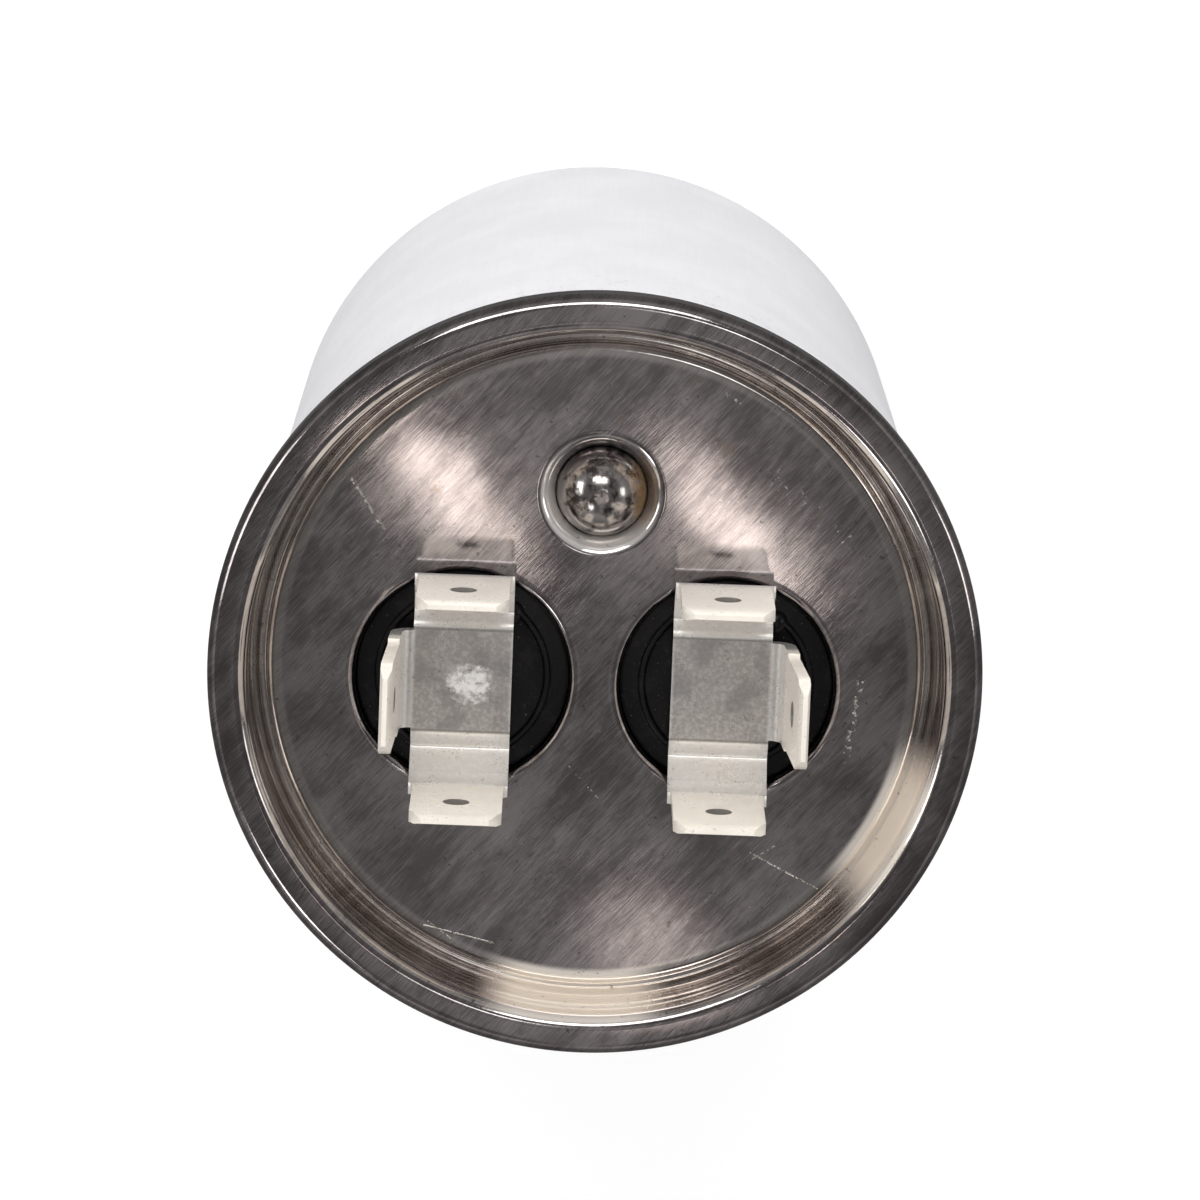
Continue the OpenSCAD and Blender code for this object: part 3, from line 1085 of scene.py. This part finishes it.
@dataclass
class PushOnTerminal:
    """One bent terminal with three blades, and its moulded bush; sizes in millimetres."""

    side: str
    plate_x: float
    welded: bool
    edge: float = 0.07
    flat_angle: float = 0.6
    edge_angle: float = 38.0
    blade_rise: float = 11.5
    flange_height: float = 1.54
    body_inset: float = 1.11
    boss_rise: float = 1.6
    rim_rise: float = 0.3
    bore_r: float = 1.5
    socket_r: float = 2.4
    socket_depth: float = 0.6
    pip_r: float = 0.98
    pip_place: tuple[float, float, float] = (3.3, 4.5, -0.5)

    def terminal(self) -> bpy.types.Object:
        """Makes the stamped terminal: the CAD form with its sheared edges broken.

        Returns:
            The terminal's piece.
        """
        node = f"{self.side}_terminal"
        bm = bmesh.new()
        bm.from_mesh(frame["nodes"][node].data)
        bmesh.ops.remove_doubles(bm, verts=bm.verts[:], dist=1e-6)
        bmesh.ops.dissolve_limit(
            bm,
            angle_limit=math.radians(self.flat_angle),
            verts=bm.verts[:],
            edges=bm.edges[:],
            use_dissolve_boundaries=False,
        )
        limit = math.radians(self.edge_angle)
        sharp = [e for e in bm.edges if len(e.link_faces) == 2 and e.calc_face_angle(0.0) > limit]
        bmesh.ops.bevel(
            bm,
            geom=sharp,
            offset=self.edge * MM,
            offset_type="OFFSET",
            segments=2,
            profile=0.5,
            affect="EDGES",
            material=-1,
            clamp_overlap=True,
        )
        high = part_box(node)[1]
        centre = (self.plate_x, middle(node)[1])
        plate_top = high.z / MM - self.blade_rise
        finish = TinPlating(f"{self.side}_tin_plating", centre, plate_top, self.welded)
        return make_piece(f"{self.side}_terminal_tin", bm, finish.build(), node)

    def bush(self, material: bpy.types.Material) -> bpy.types.Object:
        """Makes the bush: flange, body, rim, boss and the domed pip beside the leg.

        Args:
            material: The moulding's finish.

        Returns:
            The bush's piece.
        """
        node = f"{self.side}_bush"
        low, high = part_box(node)
        foot, boss = low.z / MM, high.z / MM
        flange = (high.x - low.x) / 2 / MM
        body = flange - self.body_inset
        top = boss - self.boss_rise
        section = [
            Corner(self.bore_r, foot),
            Corner(flange, foot, 0.2),
            Corner(flange, foot + self.flange_height, 0.2),
            Corner(body, foot + self.flange_height),
            Corner(body, top, 0.3),
            Corner(6.15, top, 0.1),
            Corner(6.05, top + self.rim_rise, 0.12),
            Corner(5.75, top + self.rim_rise, 0.12),
            Corner(5.65, top, 0.1),
            Corner(3.3, top, 0.25),
            Corner(3.1, boss, 0.1),
            Corner(self.socket_r, boss),
            Corner(self.socket_r, boss - self.socket_depth),
            Corner(self.bore_r, boss - self.socket_depth),
        ]
        bm = bmesh.new()
        spin_section(bm, section, 144, 5, closed=True, centre=middle(node))
        bmesh.ops.recalc_face_normals(bm, faces=bm.faces[:])
        x, y = middle(node)
        right, back, up = self.pip_place
        place = ((x + right) * MM, (y + back) * MM, (top + up) * MM)
        pip = bmesh.ops.create_uvsphere(bm, u_segments=32, v_segments=24, radius=self.pip_r * MM)
        bmesh.ops.translate(bm, verts=pip["verts"], vec=place)
        return make_piece(f"{self.side}_bush_moulding", bm, material, node)


def inner_finishes() -> dict[str, PlainFinish]:
    """The finishes of the sealed pieces.

    Returns:
        The finish of each material slot.
    """
    bright = (0.25, 0.45)
    return {
        "sealing_compound": PlainFinish(
            "sealing_compound", (0.07, 0.068, 0.05), (0.12, 0.115, 0.09)
        ),
        "rivet_steel": PlainFinish(
            "rivet_steel", (0.42, 0.40, 0.37), (0.62, 0.59, 0.55), bright, 1.0
        ),
        "washer_steel": PlainFinish(
            "washer_steel", (0.45, 0.44, 0.42), (0.64, 0.63, 0.61), (0.25, 0.4), 1.0
        ),
        "lead_tin": PlainFinish(
            "lead_tin", (0.58, 0.57, 0.54), (0.74, 0.73, 0.70), bright, 1.0
        ),
        "film": PlainFinish(
            "film_turns", (0.42, 0.43, 0.45), (0.66, 0.67, 0.69), (0.2, 0.4), 0.6, (0.3, 0.3, 6.0)
        ),
        "core_plastic": PlainFinish(
            "core_plastic", (0.70, 0.68, 0.61), (0.82, 0.80, 0.73), (0.35, 0.5)
        ),
        "spray_metal": PlainFinish(
            "spray_metal", (0.24, 0.24, 0.25), (0.46, 0.46, 0.47), (0.6, 0.85), 0.8,
            scale=3.0, depth=0.08,
        ),
        "wrap_film": PlainFinish(
            "wrap_film", (0.60, 0.50, 0.27), (0.74, 0.64, 0.38), (0.12, 0.3)
        ),
        "white_plastic": PlainFinish(
            "white_plastic", (0.74, 0.74, 0.72), (0.84, 0.84, 0.82), (0.3, 0.5)
        ),
    }


@dataclass
class SealedInside:
    """The pieces sealed in the can, which keep their CAD meshes and get their finishes."""

    finishes: dict[str, PlainFinish] = field(default_factory=inner_finishes)

    def dress(self) -> list[str]:
        """Gives every sealed CAD node the finish of its slot.

        Returns:
            The names of the dressed nodes.
        """
        made = {slot: finish.build() for slot, finish in self.finishes.items()}
        dressed = []
        for part in frame["record"]["subparts"]:
            if part["material_slot"] in made:
                mesh = frame["nodes"][part["node"]].data
                mesh.materials.clear()
                mesh.materials.append(made[part["material_slot"]])
                dressed.append(part["node"])
        return dressed


# ---------------------------------------------------------------- studio


@dataclass(frozen=True)
class Lamp:
    """An area lamp that points at a spot on the object; sizes and places in millimetres."""

    name: str
    place: tuple[float, float, float]
    target: tuple[float, float, float]
    size: tuple[float, float]
    radiance: float
    colour: Colour = WHITE
    roll: float = 0.0
    glossy_only: bool = False
    diffuse_only: bool = False

    def build(self) -> bpy.types.Object:
        """Adds the lamp; radiance is what a mirror would show, and roll turns its long side.

        Returns:
            The lamp.
        """
        data = bpy.data.lights.new(self.name, "AREA")
        data.shape = "RECTANGLE"
        data.size, data.size_y = self.size[0] * MM, self.size[1] * MM
        data.energy = self.radiance * math.pi * data.size * data.size_y
        data.color = self.colour
        lamp = bpy.data.objects.new(self.name, data)
        bpy.context.scene.collection.objects.link(lamp)
        place, target = Vector(self.place) * MM, Vector(self.target) * MM
        back = (place - target).normalized()
        long_side = Matrix.Rotation(math.radians(self.roll), 3, "Z") @ Vector((0, 1, 0))
        across = long_side.cross(back).normalized()
        axes = Matrix((across, back.cross(across), back)).transposed()
        lamp.matrix_world = Matrix.Translation(place) @ axes.to_4x4()
        lamp.visible_camera = False
        lamp.visible_diffuse = not self.glossy_only
        lamp.visible_glossy = not self.diffuse_only
        return lamp


@dataclass
class Studio:
    """Floor, world, lamps, dark drapes and the camera; places in millimetres."""

    lens: float = 173.08
    eye: tuple[float, float, float] = (-3.549, 81.69, 478.64)
    look_down: float = 11.083
    look_side: float = 0.11
    plan_turn: float = 2.2
    world_share: float = 0.84
    floor_tone: Colour = (0.80, 0.80, 0.80)
    floor_glow: float = 0.26
    drape_tint: Colour = (1.0, 0.97, 0.96)
    drape_middle: float = 6.0
    drape_dark: tuple[float, float] = (6.0, -141.0)
    window_height: float = 240.0

    def world(self) -> None:
        """A white world, at full strength except in the light that lands on matt surfaces."""
        world = bpy.data.worlds.new("studio_world")
        bpy.context.scene.world = world
        world.use_nodes = True
        nodes, links = world.node_tree.nodes, world.node_tree.links
        back = next(n for n in nodes if n.type == "BACKGROUND")
        rays = nodes.new("ShaderNodeLightPath")
        seen = rays.outputs["Is Camera Ray"]
        for kind in ("Is Glossy Ray", "Is Transmission Ray"):
            either = nodes.new("ShaderNodeMath")
            either.operation = "MAXIMUM"
            links.new(seen, either.inputs[0])
            links.new(rays.outputs[kind], either.inputs[1])
            seen = either.outputs[0]
        power = nodes.new("ShaderNodeMapRange")
        links.new(seen, power.inputs["Value"])
        power.inputs["To Min"].default_value = self.world_share
        power.inputs["To Max"].default_value = 1.0
        links.new(power.outputs[0], back.inputs["Strength"])
        back.inputs["Color"].default_value = (*WHITE, 1.0)

    def floor(self) -> None:
        """A pale floor that keeps the object's shadow and glows a little to eye and metal."""
        bm = bmesh.new()
        bmesh.ops.create_grid(bm, x_segments=4, y_segments=4, size=1.6)
        s = NodeSketch("floor_paper")
        rays = s.node("ShaderNodeLightPath").outputs
        seen = s.math("MAXIMUM", rays["Is Camera Ray"], rays["Is Glossy Ray"])
        s.finish(
            self.floor_tone,
            0.9,
            Specular_IOR_Level=0.0,
            Emission_Color=WHITE,
            Emission_Strength=s.product(seen, self.floor_glow),
        )
        add_object("floor", bm, s.material)

    def drapes(self) -> None:
        """Dark drapes round and over the lid, which only reflections show."""
        s = NodeSketch("drape_paint")
        x, _, z = s.axes()
        aside = s.math("ABSOLUTE", s.math("SUBTRACT", x, self.drape_middle))
        across = s.spread(s.level(aside, 64.0, 16.0), 0.12, 0.27)
        dark = s.spread(s.level(s.reach(self.drape_dark), 10.0, 34.0), 0.38, 1.0)
        high = s.level(z, 640.0, 720.0)
        side = s.spread(s.level(z, 60.0, 620.0), 0.12, 0.30)
        over = s.product(s.product(across, dark), high)
        glow = s.math("ADD", over, s.product(s.math("SUBTRACT", 1.0, high), side))
        s.finish(
            BLACK,
            1.0,
            Specular_IOR_Level=0.0,
            Emission_Color=self.drape_tint,
            Emission_Strength=glow,
        )
        bm = bmesh.new()
        bmesh.ops.create_cone(
            bm, cap_ends=True, segments=64, radius1=0.9, radius2=0.75, depth=0.748
        )
        bmesh.ops.translate(bm, verts=bm.verts[:], vec=(0, 0, 0.376))
        drapes = add_object("studio_drapes", bm, s.material)
        for rays in ("camera", "diffuse", "shadow", "transmission"):
            setattr(drapes, f"visible_{rays}", False)

    def mirror_spot(self, point: tuple[float, float, float]) -> tuple[float, float, float]:
        """Where a lamp at the window height shows in a point of a level mirror, for the camera.

        Args:
            point: The mirror's point in millimetres.

        Returns:
            The lamp's place in millimetres.
        """
        spot = Vector(point)
        run = spot - Vector(self.eye)
        run.z = -run.z
        return tuple(spot + run * ((self.window_height - point[2]) / run.z))

    def lamps(self, panel: float, top: float) -> None:
        """The key and fills, two glints, and three windows that show in the panel.

        Args:
            panel: Height of the lid's panel.
            top: Height of the seam.
        """
        aim = (0.0, 0.0, top)
        sun = (1.0, 0.985, 0.96)
        rig = [
            Lamp("key_back", (-60, 420, 640), aim, (420, 200), 3.4, sun),
            Lamp("fill_left", (-560, 120, 420), aim, (200, 300), 2.4, sun),
            Lamp("fill_right", (560, 60, 480), aim, (140, 200), 2.0, (1.0, 0.99, 0.97)),
            Lamp("fill_rear", (0, 560, 190), (0, 0, 45), (1100, 300), 1.5, diffuse_only=True),
            Lamp("glint_front", (-260, -330, 520), aim, (120, 120), 4.0, glossy_only=True),
            Lamp("glint_over", (60, 60, 620), aim, (60, 60), 3.0, glossy_only=True),
        ]
        warm = (1.0, 0.90, 0.82)
        for name, x, y, size, roll, power in (
            ("window_left", -10.4, 12.0, (4.6, 16.0), 44.0, 2.7),
            ("window_right", 9.0, 10.0, (4.6, 15.0), 44.0, 2.7),
            ("window_low", 4.7, -19.4, (6.0, 9.0), -75.0, 0.9),
        ):
            spot = (x, y, panel)
            rig.append(Lamp(name, self.mirror_spot(spot), spot, size, power, warm, roll, True))
        for lamp in rig:
            lamp.build()

    def camera(self) -> None:
        """A long lens high behind the object, looking down at the lid."""
        data = bpy.data.cameras.new("main_camera")
        data.sensor_width, data.lens = 36.0, self.lens
        data.clip_start, data.clip_end = 0.01, 10.0
        camera = bpy.data.objects.new("main_camera", data)
        bpy.context.scene.collection.objects.link(camera)
        turn = (
            Matrix.Rotation(math.radians(self.plan_turn), 4, "Z")
            @ Matrix.Rotation(math.radians(-self.look_down), 4, "X")
            @ Matrix.Rotation(math.radians(-self.look_side), 4, "Y")
        )
        camera.matrix_world = Matrix.Translation(Vector(self.eye) * MM) @ turn
        bpy.context.scene.camera = camera

    def build(self, panel: float, top: float) -> None:
        """Sets the whole studio up.

        Args:
            panel: Height of the lid's panel.
            top: Height of the seam.
        """
        self.world()
        self.floor()
        self.drapes()
        self.lamps(panel, top)
        self.camera()
        bpy.context.scene.view_settings.view_transform = "Standard"


def main() -> None:
    """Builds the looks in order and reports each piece."""
    logging.basicConfig(level=logging.INFO, format="%(message)s")
    case = SeamedCan()
    pieces = [case.can(), case.lid(), case.ball()]
    black = BlackMoulding().build()
    for side, plate_x, welded in (("left", -9.2, True), ("right", 8.8, False)):
        push_on = PushOnTerminal(side, plate_x, welded)
        pieces += [push_on.terminal(), push_on.bush(black)]
    for piece in pieces:
        LOG.info("%s: %d faces", piece.name, len(piece.data.polygons))
    for node in SealedInside().dress():
        LOG.info("%s: dressed", node)
    Studio().build(case.panel, case.top)


if __name__ == "__main__":
    main()
